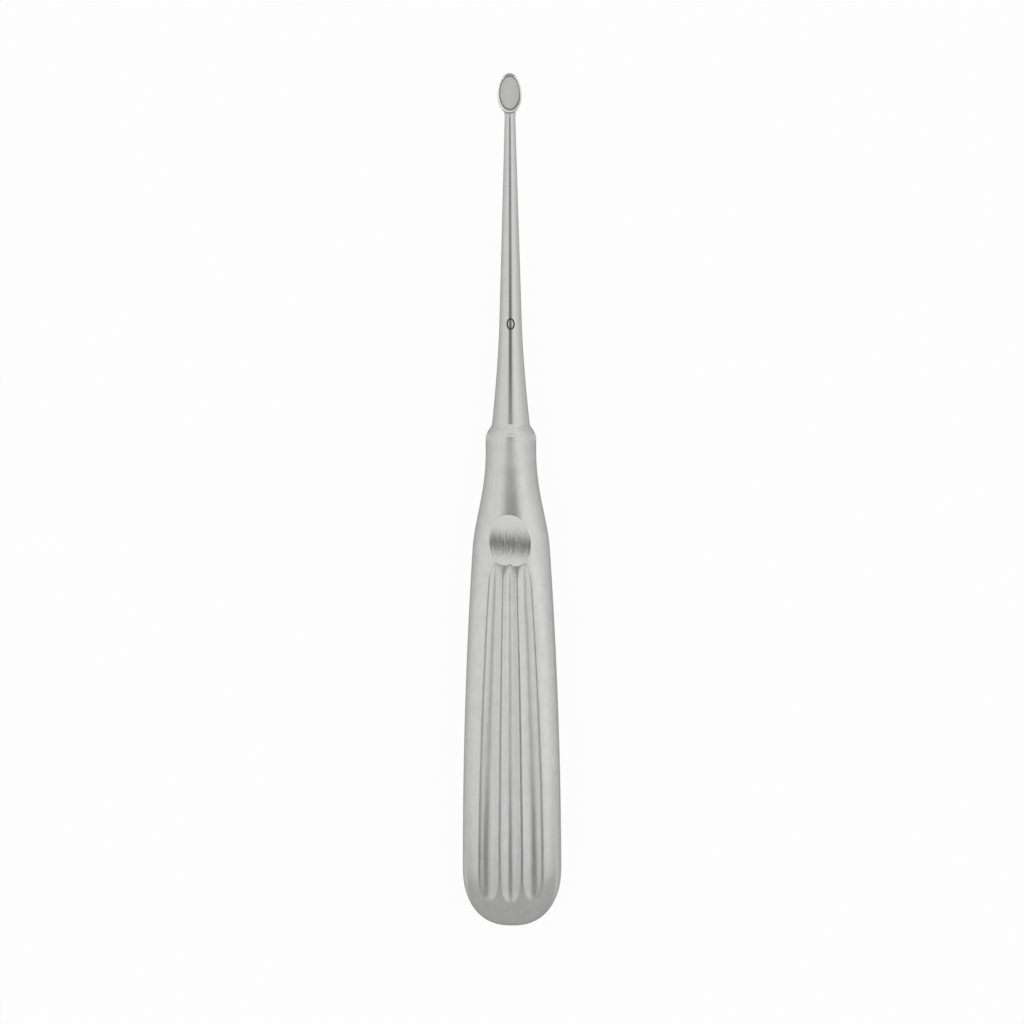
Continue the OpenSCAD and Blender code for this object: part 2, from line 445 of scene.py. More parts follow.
class ShaderTree:
    """The node tree of a material or of the world, with short ways to add what the finishes share."""

    def __init__(self, owner: Union[bpy.types.Material, bpy.types.World]) -> None:
        """Starts an empty tree.

        Args:
            owner: The material or world that the tree belongs to.
        """
        owner.use_nodes = True
        self.tree = owner.node_tree
        self.tree.nodes.clear()

    def node(self, kind: str, inputs: dict[str, object], **settings: object) -> bpy.types.Node:
        """Adds a node.

        Args:
            kind: Blender's name of the kind of node.
            inputs: Each input's name, with a plain value, a formula or an output to link.
            settings: The node's own settings.

        Returns:
            The new node.
        """
        made = self.tree.nodes.new(kind)
        for key, value in settings.items():
            setattr(made, key, value)
        for label, value in inputs.items():
            feed(self.tree, made.inputs[label], value)
        return made

    def output(self, node: bpy.types.Node, label: str) -> Formula:
        """Gives one output of a node as a formula."""
        return Formula(self.tree, node.outputs[label])

    def object_place(self, stretch: tuple[float, float, float] = (1.0, 1.0, 1.0)) -> bpy.types.NodeSocket:
        """Gives the place on the object, with each axis made finer or coarser.

        Args:
            stretch: How much finer a pattern is along X, Y and Z.

        Returns:
            The vector that a texture reads.
        """
        place = self.node("ShaderNodeTexCoord", {}).outputs["Object"]
        return self.node("ShaderNodeMapping", {"Vector": place, "Scale": stretch}).outputs[0]

    def noise(self, grain: float, stretch: tuple[float, float, float] = (1.0, 1.0, 1.0),
              detail: float = 3.0) -> Formula:
        """Adds a noise pattern on the object.

        Args:
            grain: Size of one grain in metres.
            stretch: How much finer the grain is along X, Y and Z.
            detail: Number of finer layers.

        Returns:
            The pattern, about 0.5 on average.
        """
        made = self.node("ShaderNodeTexNoise", {
            "Vector": self.object_place(stretch), "Scale": 1.0 / grain, "Detail": detail})
        return self.output(made, "Fac")


@dataclass(frozen=True)
class Steel:
    """Bare steel, with fine grain, mottling and soft waves, and coarser where the mesh is marked so."""

    name: str
    tone: float = 0.55
    warmth: float = 0.008
    metallic: float = 1.0
    rim_tone: float = 0.6
    roughness: float = 0.22
    mottle: float = 0.05
    mottle_grain: float = 0.0022
    grain: float = 0.00022
    grain_tone: float = 0.1
    grain_height: float = 0.0000012
    grain_stretch: tuple[float, float, float] = (1.0, 1.0, 1.0)
    wave: float = 0.004
    wave_height: float = 0.0
    wave_stretch: tuple[float, float, float] = (1.0, 0.4, 1.0)
    coarsening: float = 0.0

    def material(self) -> bpy.types.Material:
        """Builds the finish.

        Returns:
            The material.
        """
        made = bpy.data.materials.new(self.name)
        tree = ShaderTree(made)
        mottle = tree.noise(self.mottle_grain) - 0.5
        grain = tree.noise(self.grain, self.grain_stretch, detail=2.0)
        tone = (1.0 + mottle * self.mottle + (grain - 0.5) * self.grain_tone) * self.tone
        roughness = self.roughness
        if self.coarsening > 0:
            coarse = tree.node("ShaderNodeAttribute", {}, attribute_name=COARSE)
            roughness = tree.output(coarse, "Fac") * self.coarsening + self.roughness
        colour = tree.node("ShaderNodeCombineColor", {
            "Red": tone, "Green": tone, "Blue": tone * (1.0 - self.warmth)})
        bump = tree.node("ShaderNodeBump", {
            "Strength": 1.0, "Distance": self.grain_height, "Height": grain})
        if self.wave_height > 0:
            wave = tree.node("ShaderNodeBump", {
                "Strength": 1.0, "Distance": self.wave_height,
                "Height": tree.noise(self.wave, self.wave_stretch, detail=1.0)})
            feed(tree.tree, bump.inputs["Normal"], wave.outputs[0])
        shader = tree.node("ShaderNodeBsdfPrincipled", {
            "Base Color": colour.outputs[0], "Metallic": self.metallic,
            "Roughness": roughness,
            "Specular Tint": (*[self.rim_tone] * 3, 1.0),
            "Normal": bump.outputs[0]})
        tree.node("ShaderNodeOutputMaterial", {"Surface": shader.outputs[0]})
        return made


# Pieces


@dataclass(frozen=True)
class Placement:
    """Where the instrument lies, as the frame gives it. Places along it are measured from its butt."""

    butt: float
    axis_height: float
    handle_length: float
    overall_length: float

    @classmethod
    def from_frame(cls) -> "Placement":
        """Reads the placement from the boxes of the CAD nodes."""
        handle_low, handle_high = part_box("handle")
        shank_low, shank_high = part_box("spoon_shank")
        return cls(
            butt=handle_low.y,
            axis_height=(shank_low.z + shank_high.z) / 2,
            handle_length=handle_high.y - handle_low.y,
            overall_length=shank_high.y - handle_low.y)


@dataclass(frozen=True)
class FlutedHandle:
    """The flat hollow handle with its flutes, thumb rest, round neck and ground mouth."""

    butt: Number
    axis_height: Number
    length: Number
    width: Number = 0.0196
    waist_width: Number = 0.0154
    thickness: Number = 0.01109
    butt_length: Number = 0.0118
    butt_side_length: Number = 0.0104
    waist_length: Number = 0.0194
    thinning_length: Number = 0.028
    neck_diameter: Number = 0.0101
    neck_length: Number = 0.003
    neck_thickness: Number = 0.0109
    drop_length: Number = 0.006
    collar_length: Number = 0.0015
    collar_step: Number = 0.00002
    mouth_bevel: Number = 0.00022
    mouth_bevel_length: Number = 0.00045
    socket_diameter: Number = 0.00606
    socket_depth: Number = 0.021
    flute_depth: Number = 0.00065
    outer_flute_depth: Number = 0.0005
    flute_pitch: Number = 0.0044
    upper_flute_pitch: Number = 0.00255
    flute_arch: Number = 0.0038
    thumb_rest_gap: Number = 0.021
    thumb_rest_radius: Number = 0.020
    thumb_rest_depth: Number = 0.00065
    thumb_rest_slant: Number = math.radians(5)
    thumb_rest_to_flutes: Number = 0.0047
    ground_band: Number = 0.0015
    butt_power: Number = 2.3
    butt_side_power: Number = 2.6
    taper_power: Number = 1.95
    pitch_power: Number = 1.6
    butt_section_power: Number = 3.4
    waist_section_power: Number = 2.3
    section_fade_power: Number = 5.0
    round_section_power: Number = 2.0
    arch_power: Number = 2.0
    body_span: Number = 0.74
    neck_span: Number = 0.62
    least_flute_share: Number = 0.3
    ridge_share: Number = 0.15
    edge_softness: Number = 0.16
    outer_edge_softness: Number = 0.5
    outer_edge_reach: Number = 1.25
    butt_flute_power: Number = 2.0
    upper_flute_power: Number = 1.85
    flute_power_run: Number = 0.4
    toe_length: Number = 0.0077
    toe_lift: Number = 0.00122
    coarse_toe_run: Number = 0.0022
    coarse_from: Number = 0.016
    coarse_run: Number = 0.02

    piece_name: ClassVar[str] = "fluted_handle"
    node_name: ClassVar[str] = "handle"
    middle_columns: ClassVar[int] = 10
    land_columns: ClassVar[int] = 4
    outer_columns: ClassVar[int] = 26
    side_columns: ClassVar[int] = 18
    butt_rows: ClassVar[int] = 90
    body_rows: ClassVar[int] = 170
    arch_rows: ClassVar[int] = 40
    neck_rows: ClassVar[int] = 80
    mouth_rows: ClassVar[int] = 2
    socket_rows: ClassVar[int] = 8
    scoop_sides: ClassVar[int] = 1440
    sharp_from: ClassVar[float] = math.radians(9)
    smallest: ClassVar[float] = 0.0000001

    @property
    def collar_start(self) -> Number:
        """Place where the round collar starts."""
        return self.length - self.mouth_bevel_length - self.collar_length

    @property
    def drop_start(self) -> Number:
        """Place where the front and the back start to drop to the collar."""
        return self.collar_start - self.drop_length

    @property
    def waist_start(self) -> Number:
        """Place where the handle starts to narrow to its neck."""
        return self.length - self.mouth_bevel_length - self.neck_length - self.waist_length

    @property
    def thumb_rest_at(self) -> Number:
        """Place of the middle of the thumb rest."""
        return self.length - self.thumb_rest_gap

    @property
    def flute_top(self) -> Number:
        """Place where the flutes end below the thumb rest."""
        return self.thumb_rest_at - self.thumb_rest_to_flutes

    @property
    def neck_root(self) -> Number:
        """Diameter of the neck just behind its collar."""
        return self.neck_diameter - self.collar_step

    def body_share(self, along: Number) -> Number:
        """Tells how far the body has tapered at a place along it."""
        return greater((along - self.butt_length) / (self.waist_start - self.butt_length), 0.0)

    def necked(self, along: Number) -> Number:
        """Tells how far the body has narrowed to its neck."""
        return smooth((along - self.waist_start) / self.waist_length)

    def half_width(self, along: Number) -> Number:
        """Gives half the width of the section at a place along the handle."""
        tapered = mix(self.width, self.waist_width, self.body_share(along) ** self.taper_power)
        full = mix(tapered, self.neck_root, self.necked(along)) / 2.0
        return full * rounding(along, self.butt_length, self.butt_power)

    def dropped(self, along: Number) -> Number:
        """Tells how far the front and the back have dropped to the collar."""
        return smooth((along - self.drop_start) / self.drop_length)

    def full_half_thickness(self, along: Number) -> Number:
        """Gives half the thickness that the section would have without the rounded butt."""
        thinned = smooth((along - self.drop_start + self.thinning_length) / self.thinning_length)
        body = mix(self.thickness, self.neck_thickness, thinned)
        return mix(body, self.neck_root, self.dropped(along)) / 2.0

    def half_thickness(self, along: Number) -> Number:
        """Gives half the thickness of the section at a place along the handle."""
        rounded = rounding(along, self.butt_side_length, self.butt_side_power)
        return self.full_half_thickness(along) * rounded

    def section_power(self, along: Number) -> Number:
        """Gives the power of the section's curve, from flat-sided down to round."""
        faded = clamped(self.body_share(along)) ** self.section_fade_power
        body = mix(self.butt_section_power, self.waist_section_power, faded)
        return mix(body, self.round_section_power, self.dropped(along))

    def pitch(self, along: Number, half_width: Number) -> Number:
        """Gives the spacing of the flutes at a place along the handle."""
        closed = mix(self.flute_pitch, self.upper_flute_pitch, self.body_share(along) ** self.pitch_power)
        body = lesser(closed, half_width * (self.body_span / 1.5))
        return mix(body, half_width * (self.neck_span / 1.5), self.necked(along))

    def arched(self, along: Number) -> Number:
        """Tells how far a flute has closed to its arch, from 1 along the body to 0 past the arch."""
        return rounding(self.flute_top - along, self.flute_arch, self.arch_power)

    def flute_half_width(self, along: Number, pitch: Number) -> Number:
        """Gives half the width that a flute takes, which opens again past the arch.

        Args:
            along: Place along the handle.
            pitch: Spacing of the flutes there.

        Returns:
            Half the width in metres.
        """
        opened = smooth((along - self.flute_top) / (self.waist_start - self.flute_top))
        share = greater(mix(self.least_flute_share, 1.0, opened), self.arched(along))
        return pitch * ((1.0 - self.ridge_share) / 2.0) * share

    def flute_power(self, along: Number) -> Number:
        """Gives the power of the flutes' curve, round-bottomed at the butt and sharper further up."""
        return mix(self.butt_flute_power, self.upper_flute_power,
                   smooth(self.body_share(along) / self.flute_power_run))

    def lost_depth(self, along: Number) -> Number:
        """Gives how much less deep the flutes lie where the butt rounds off and the cutter lifts."""
        lifted = greater(self.toe_length - along, 0.0) / self.toe_length
        return self.full_half_thickness(along) - self.half_thickness(along) + lifted * lifted * self.toe_lift

    def grooves(self, along: Number, x: Number) -> Number:
        """Gives the depth of the flutes at a place on the front or the back.

        Args:
            along: Place along the handle.
            x: Distance from the middle line, never below 0.

        Returns:
            The depth below the plain section.
        """
        pitch = self.pitch(along, greater(self.half_width(along), self.smallest))
        half = self.flute_half_width(along, pitch)
        lost = self.lost_depth(along)
        power = self.flute_power(along)
        beyond = (x - pitch) / half
        softness = mix(self.edge_softness, self.outer_edge_softness, smooth(beyond))
        middle = rounded_off(1.0 - (x / half) ** power - lost / self.flute_depth, self.edge_softness)
        outer = rounded_off(1.0 - absolute(beyond) ** power - lost / self.outer_flute_depth, softness)
        return (middle * self.flute_depth + outer * self.outer_flute_depth) * self.arched(along)

    def tree(self, satin: bpy.types.Material, ground: bpy.types.Material,
             scooped: bpy.types.Material) -> ShapeTree:
        """Writes the handle's shape as a node tree.

        Args:
            satin: Finish of the body.
            ground: Finish of the band round the mouth.
            scooped: Finish of the thumb rest.

        Returns:
            The tree.
        """
        sizes = {field.name: float(getattr(self, field.name)) for field in dataclasses.fields(self)}
        tree = ShapeTree("fluted_handle_shape", sizes)
        shape = dataclasses.replace(self, **tree.formulas())
        body = shape.skin(tree)
        cutter = shape.scoop(tree)
        cut = tree.combined(body, cutter, Cut.REMOVE)
        x, y, _ = tree.position()
        along = y - shape.butt
        marked = tree.coarsened(tree.realized(cut), shape.coarse_share(along, absolute(x)))
        painted = tree.painted(marked, satin)
        painted = tree.painted(painted, ground,
                               along.apply("GREATER_THAN", shape.length - shape.ground_band))
        tree.deliver(tree.painted(painted, scooped, shape.inside_scoop(tree)))
        return tree

    def coarse_share(self, along: Number, x: Number) -> Number:
        """Tells how coarse the finish is, which the brushes reach less well in the flutes and the neck.

        Args:
            along: Place along the handle.
            x: Distance from the middle line, never below 0.

        Returns:
            A share from 0 to 1.
        """
        at_toes = smooth((self.toe_length - along) / self.coarse_toe_run)
        up_flutes = smooth((along - self.coarse_from) / self.coarse_run)
        in_flutes = up_flutes * clamped(self.grooves(along, x) / (self.flute_depth / 3.0))
        at_neck = smooth((along - self.thumb_rest_at) / self.waist_length)
        return clamped(at_toes + greater(in_flutes, at_neck))

    def row_places(self, row: Formula) -> tuple[Formula, Formula, Formula]:
        """Works out where each row of the skin lies.

        Args:
            row: Number of the row, from the butt over the mouth to the bottom of the socket.

        Returns:
            The place along the body, the full place along, and what the radius gains past the body.
        """
        def share(first: int, count: int) -> Number:
            """Tells how much of a run of rows lies behind this row."""
            return clamped((row - float(first)) / float(count))

        counts = [self.butt_rows, self.body_rows, self.arch_rows, self.neck_rows, 1] + [self.mouth_rows] * 3
        counts += [self.socket_rows, self.mouth_rows]
        firsts = [sum(counts[:i]) for i in range(len(counts))]
        butt, body, arch, neck, step, collar, bevel, face, socket, bottom = (
            share(first, count) for first, count in zip(firsts, counts))
        arch_start = self.flute_top - self.flute_arch
        along_body = (
            self.butt_length * (1.0 - cosine(butt * QUARTER_TURN))
            + (arch_start - self.butt_length) * body
            + self.flute_arch * sine(arch * QUARTER_TURN)
            + (self.collar_start - self.flute_top) * neck)
        along = (along_body + self.collar_length * collar + self.mouth_bevel_length * bevel
                 - self.socket_depth * socket)
        face_width = self.neck_diameter / 2.0 - self.mouth_bevel - self.socket_diameter / 2.0
        gain = (self.collar_step / 2.0 * step - self.mouth_bevel * bevel - face_width * face
                - self.socket_diameter / 2.0 * bottom)
        return along_body, along, gain

    def skin(self, tree: ShapeTree) -> bpy.types.NodeSocket:
        """Writes the closed skin of the handle, before the thumb rest is ground in.

        Args:
            tree: The tree that the skin is written in.

        Returns:
            The skin's mesh.
        """
        half_columns = self.middle_columns + self.land_columns + self.outer_columns + self.side_columns
        rows = (self.butt_rows + self.body_rows + self.arch_rows + self.neck_rows + 1
                + 4 * self.mouth_rows + self.socket_rows)
        mesh, column, row = tree.grid(4 * half_columns, rows)
        along, place, gain = self.row_places(row)
        half_width = greater(self.half_width(along), self.smallest)
        power = self.section_power(along)
        pitch = self.pitch(along, half_width)

        # The columns run from +X over the front to -X, and back below. Each is told by how far it
        # lies from the nearer face's middle column.
        across = 1.0 - absolute(1.0 - column / (2.0 * half_columns))
        outward = absolute(1.0 - 2.0 * across) * float(half_columns)
        right = (1.0 - 2.0 * across).apply("SIGN")
        front = (2.0 * half_columns - column).apply("SIGN")

        flute_half = self.flute_half_width(along, pitch)
        outer_start = float(self.middle_columns + self.land_columns)
        side_start = outer_start + self.outer_columns
        in_middle = clamped(outward / self.middle_columns)
        on_land = clamped((outward - self.middle_columns) / self.land_columns)
        in_outer = clamped((outward - outer_start) / self.outer_columns)
        on_side = clamped((outward - side_start) / self.side_columns)
        border = pitch + flute_half * self.outer_edge_reach
        turn = arc_cosine(clamped(border / half_width) ** (power / 2.0))
        side_x = half_width * cosine(turn * (1.0 - on_side)) ** (2.0 / power)
        x = (flute_half * in_middle + (pitch - flute_half * 2.0) * on_land
             + flute_half * (1.0 + self.outer_edge_reach) * in_outer + side_x - border)
        crown = self.half_thickness(along) * clamped(
            1.0 - clamped(x / half_width) ** power) ** (1.0 / power)
        height = (crown - self.grooves(along, x)) * (1.0 - on_side).apply("SIGN")
        swell = 1.0 + gain / half_width
        point = tree.vector(
            x * right * swell,
            place + self.butt,
            height * front * swell + self.axis_height)
        return tree.shaped(mesh, point, flip=True)

    def scoop_height(self) -> Number:
        """Gives the height of the grinding wheel's axis above the handle's."""
        return self.half_thickness(self.thumb_rest_at) - self.thumb_rest_depth + self.thumb_rest_radius

    def scoop(self, tree: ShapeTree) -> bpy.types.NodeSocket:
        """Writes the grinding wheel that leaves the thumb rest.

        Args:
            tree: The tree that the wheel is written in.

        Returns:
            The wheel's mesh.
        """
        wheel = tree.node("GeometryNodeMeshCylinder", {
            "Vertices": self.scoop_sides, "Radius": self.thumb_rest_radius, "Depth": self.width})
        place = tree.vector(0.0, self.thumb_rest_at + self.butt, self.scoop_height() + self.axis_height)
        turned = tree.vector(0.0, QUARTER_TURN, -self.thumb_rest_slant)
        return tree.node("GeometryNodeTransform", {
            "Geometry": wheel.outputs["Mesh"], "Translation": place, "Rotation": turned}).outputs[0]

    def inside_scoop(self, tree: ShapeTree) -> Formula:
        """Picks the faces that the grinding wheel left.

        Args:
            tree: The tree that the choice is written in.

        Returns:
            1 on those faces and 0 elsewhere.
        """
        x, y, z = tree.position()
        beyond = y - (self.thumb_rest_at + self.butt)
        across = x * sine(self.thumb_rest_slant) + beyond * cosine(self.thumb_rest_slant)
        above = z - (self.scoop_height() + self.axis_height)
        reach = (across * across + above * above) ** 0.5
        return reach.apply("LESS_THAN", self.thumb_rest_radius + MERGE_DISTANCE)

    def build(self) -> bpy.types.Object:
        """Makes the handle and dresses it.

        Returns:
            The finished piece.
        """
        satin = Steel("satin_steel", tone=0.58, roughness=0.28, coarsening=0.1,
                      mottle=0.14, grain=0.0003, grain_tone=0.2, grain_height=0.000003,
                      grain_stretch=(1.0, 0.12, 1.0), wave_height=0.0001)
        ground = Steel("ground_steel", tone=0.58, rim_tone=1.0, roughness=0.35, grain=0.00012,
                       wave_height=0.00008)
        scooped = Steel("scooped_steel", tone=0.6, roughness=0.25, grain=0.00026, grain_height=0.000045,
                        grain_stretch=(1.0, 0.06, 1.0))
        tree = self.tree(satin.material(), ground.material(), scooped.material())
        piece = tree.build(self.piece_name)
        soften(piece.data, self.sharp_from)
        settle(piece, self.node_name)
        return piece


@dataclass(frozen=True)
class TurnedShank:
    """The shank: a tang, a shoulder, a flare and a long taper, turned from one bar."""

    seat: float
    length: float
    axis_height: float
    tang_diameter: float = 0.006
    tang_length: float = 0.020
    tang_bevel: float = 0.0005
    shoulder_diameter: float = 0.0095
    shoulder_length: float = 0.0021
    root_diameter: float = 0.0075
    flare_length: float = 0.020
    flare_power: float = 1.7
    taper_diameter: float = 0.00564
    tip_diameter: float = 0.0021
    heel_diameter: float = 0.00236
    heel_length: float = 0.0012
    heel_end_diameter: float = 0.00212
    heel_reach: float = 0.0039
    coarse_from: float = 0.009
    coarse_run: float = 0.03

    sides: ClassVar[int] = 160
    shoulder_steps: ClassVar[int] = 16
    flare_steps: ClassVar[int] = 60
    taper_steps: ClassVar[int] = 60

    def shoulder_radius(self, beyond: float) -> float:
        """Gives the radius of the shoulder at a distance from the seat."""
        return mix(self.shoulder_diameter, self.root_diameter, smooth(beyond / self.shoulder_length)) / 2

    def radius(self, beyond: float) -> float:
        """Gives the radius of the shank at a distance from the seat.

        Args:
            beyond: Distance from the face that the shoulder sits on.

        Returns:
            The radius in metres.
        """
        above = beyond - self.shoulder_length
        taper = mix(self.taper_diameter, self.tip_diameter, above / (self.length - self.shoulder_length))
        left = clamped(1 - above / self.flare_length)
        flare = (self.root_diameter - self.taper_diameter) * left ** self.flare_power
        return (taper + flare) / 2

    def outline(self) -> list[tuple[float, float]]:
        """Gives the half outline that is turned, from the tang's end to the heel's.

        Returns:
            Each point's radius and its distance from the seat.
        """
        tang = self.tang_diameter / 2
        points = [(0.0, -self.tang_length), (tang - self.tang_bevel, -self.tang_length),
                  (tang, self.tang_bevel - self.tang_length), (tang, 0.0),
                  (self.shoulder_diameter / 2, 0.0)]
        for step in range(1, self.shoulder_steps + 1):
            beyond = self.shoulder_length * step / self.shoulder_steps
            points.append((self.shoulder_radius(beyond), beyond))
        for step in range(1, self.flare_steps + 1):
            beyond = self.shoulder_length + self.flare_length * step / self.flare_steps
            points.append((self.radius(beyond), beyond))
        flare_end = self.shoulder_length + self.flare_length
        for step in range(1, self.taper_steps + 1):
            beyond = mix(flare_end, self.length, step / self.taper_steps)
            points.append((self.radius(beyond), beyond))
        points.append((self.heel_diameter / 2, self.length + self.heel_length))
        points.append((self.heel_end_diameter / 2, self.length + self.heel_reach))
        points.append((0.0, self.length + self.heel_reach))
        return points

    def chain(self) -> bpy.types.Mesh:
        """Makes the outline as a chain of points, with the radius along X and the place along Y."""
        mesh = bpy.data.meshes.new("shank_outline")
        points = self.outline()
        edges = [(i, i + 1) for i in range(len(points) - 1)]
        mesh.from_pydata([(radius, self.seat + beyond, 0.0) for radius, beyond in points], edges, [])
        return mesh

    def turned(self, tree: ShapeTree) -> bpy.types.NodeSocket:
        """Writes how the chain of points is turned into a closed bar.

        Args:
            tree: The tree, whose own geometry is the chain.

        Returns:
            The bar's mesh.
        """
        chain = tree.entry.outputs["Geometry"]
        count = len(self.outline())
        mesh, column, row = tree.grid(self.sides, count - 1)
        place = tree.node("GeometryNodeInputPosition", {}).outputs[0]
        sample = tree.node("GeometryNodeSampleIndex", {"Geometry": chain}, data_type="FLOAT_VECTOR")
        feed(tree.group, sample.inputs["Value"], place)
        feed(tree.group, sample.inputs["Index"], row)
        radius, along, _ = tree.axes(sample.outputs[0])
        angle = column * (FULL_TURN / self.sides)
        point = tree.vector(radius * sine(angle), along, radius * cosine(angle) + self.axis_height)
        return tree.shaped(mesh, point)


@dataclass(frozen=True)
class OvalSpoon:
    """The small oval spoon: its bowl, the bevel round it, its cutting edge and its hollow."""

    middle: Number
    axis_height: Number
    width: Number = 0.0048
    front_length: Number = 0.0048
    rear_length: Number = 0.0033
    edge_height: Number = 0.0016
    edge_bevel: Number = 0.00035
    edge_bevel_height: Number = 0.0003
    tip_bevel: Number = 0.00047
    heel_bevel: Number = 0.00078
    edge_land: Number = 0.00004
    outer_facet_reach: Number = 0.42
    outer_facet_rise: Number = 0.86
    # Lengths at the tip and at the heel over which the bevel is coloured darker, as painted shade.
    shaded_tip: Number = 0.0007
    shaded_heel: Number = 0.0004
    # Depth below the cutting edge over which the hollow's wall is coloured dark, as painted shade.
    wall_depth: Number = 0.0008

    sides: ClassVar[int] = 160
    bowl_rows: ClassVar[int] = 40
    facet_rows: ClassVar[int] = 2
    hollow_rings: ClassVar[int] = 64
    hollow_segments: ClassVar[int] = 160

    @property
    def bowl_top(self) -> Number:
        """Height of the widest outline above the axis."""
        return self.edge_height - self.edge_bevel_height

    @property
    def edge_middle(self) -> Number:
        """Place of the middle of the hollow."""
        return self.middle + (self.front_length - self.tip_bevel - self.rear_length + self.heel_bevel) / 2.0

    @property
    def edge_half_length(self) -> Number:
        """Half the length of the hollow."""
        return (self.front_length - self.tip_bevel + self.rear_length - self.heel_bevel) / 2.0

    @property
    def hollow_half_width(self) -> Number:
        """Half the width of the hollow."""
        return self.width / 2.0 - self.edge_bevel

    def bowl(self, tree: ShapeTree) -> bpy.types.NodeSocket:
        """Writes the solid bowl, from its lowest point up over the bevel to a flat top.

        Args:
            tree: The tree that the bowl is written in.

        Returns:
            The bowl's mesh.
        """
        facet_end = self.bowl_rows + self.facet_rows
        bevel_end = facet_end + self.facet_rows
        mesh, column, row = tree.grid(self.sides, bevel_end + 1)
        rise = clamped(row / float(self.bowl_rows)) * QUARTER_TURN
        outer = clamped((row - float(self.bowl_rows)) / float(self.facet_rows))
        inner = clamped((row - float(facet_end)) / float(self.facet_rows))
        inward = mix(outer * self.outer_facet_reach, 1.0, inner)
        upward = mix(outer * self.outer_facet_rise, 1.0, inner)
        top = clamped(row - float(bevel_end))
        angle = column * (FULL_TURN / self.sides)
        ahead = sine(angle)
        beside = cosine(angle)
        front = ahead.apply("GREATER_THAN", 0.0)
        share = sine(rise)
        reach = mix(self.rear_length, self.front_length, front)
        bowl_x = share * (self.width / 2.0) * beside
        bowl_y = share * reach * ahead + self.middle
        bowl_z = self.bowl_top - self.width / 2.0 * cosine(rise)
        edge_x = (self.hollow_half_width + self.edge_land) * beside * (1.0 - top)
        edge_y = (self.edge_half_length + self.edge_land) * ahead * (1.0 - top) + self.edge_middle
        point = tree.vector(
            mix(bowl_x, edge_x, inward),
            mix(bowl_y, edge_y, inward),
            mix(bowl_z, self.edge_height, upward) + self.axis_height)
        return tree.shaped(mesh, point)

    def hollow(self, tree: ShapeTree) -> bpy.types.NodeSocket:
        """Writes the hollow as a whole oval, whose upper half is in the air.

        Args:
            tree: The tree that the hollow is written in.

        Returns:
            The hollow's mesh.
        """
        ball = tree.node("GeometryNodeMeshUVSphere", {
            "Segments": self.hollow_segments, "Rings": self.hollow_rings, "Radius": 1.0})
        place = tree.vector(0.0, self.edge_middle, self.edge_height + self.axis_height)
        scale = tree.vector(self.hollow_half_width, self.edge_half_length, self.hollow_half_width)
        return tree.node("GeometryNodeTransform", {
            "Geometry": ball.outputs["Mesh"], "Translation": place, "Scale": scale}).outputs[0]

    def on_bevel(self, tree: ShapeTree) -> Formula:
        """Picks the faces of the bevel and of the land on the cutting edge.

        Args:
            tree: The tree that the choice is written in.

        Returns:
            1 on those faces and 0 elsewhere.
        """
        _, _, z = tree.position()
        return z.apply("GREATER_THAN", self.bowl_top + self.axis_height)

    def in_painted_shade(self, tree: ShapeTree) -> Formula:
        """Picks the faces at the tip and at the heel of the bevel, which are coloured darker as painted
        shade.

        Args:
            tree: The tree that the choice is written in.

        Returns:
            1 on those faces and 0 elsewhere.
        """
        _, y, _ = tree.position()
        at_tip = y.apply("GREATER_THAN", self.middle + self.front_length - self.shaded_tip)
        at_heel = y.apply("LESS_THAN", self.middle - self.rear_length + self.shaded_heel)
        return at_tip + at_heel

    def in_hollow(self, tree: ShapeTree) -> Formula:
        """Picks the faces of the hollow.

        Args:
            tree: The tree that the choice is written in.

        Returns:
            1 on those faces and 0 elsewhere.
        """
        x, y, z = tree.position()
        across = x / self.hollow_half_width
        beyond = (y - self.edge_middle) / self.edge_half_length
        above = (z - (self.edge_height + self.axis_height)) / self.hollow_half_width
        reach = across * across + beyond * beyond + above * above
        return reach.apply("LESS_THAN", 1.0001)

    def on_wall(self, tree: ShapeTree) -> Formula:
        """Picks the faces that lie no deeper below the cutting edge than the steep wall reaches."""
        _, _, z = tree.position()
        return z.apply("GREATER_THAN", self.edge_height + self.axis_height - self.wall_depth)


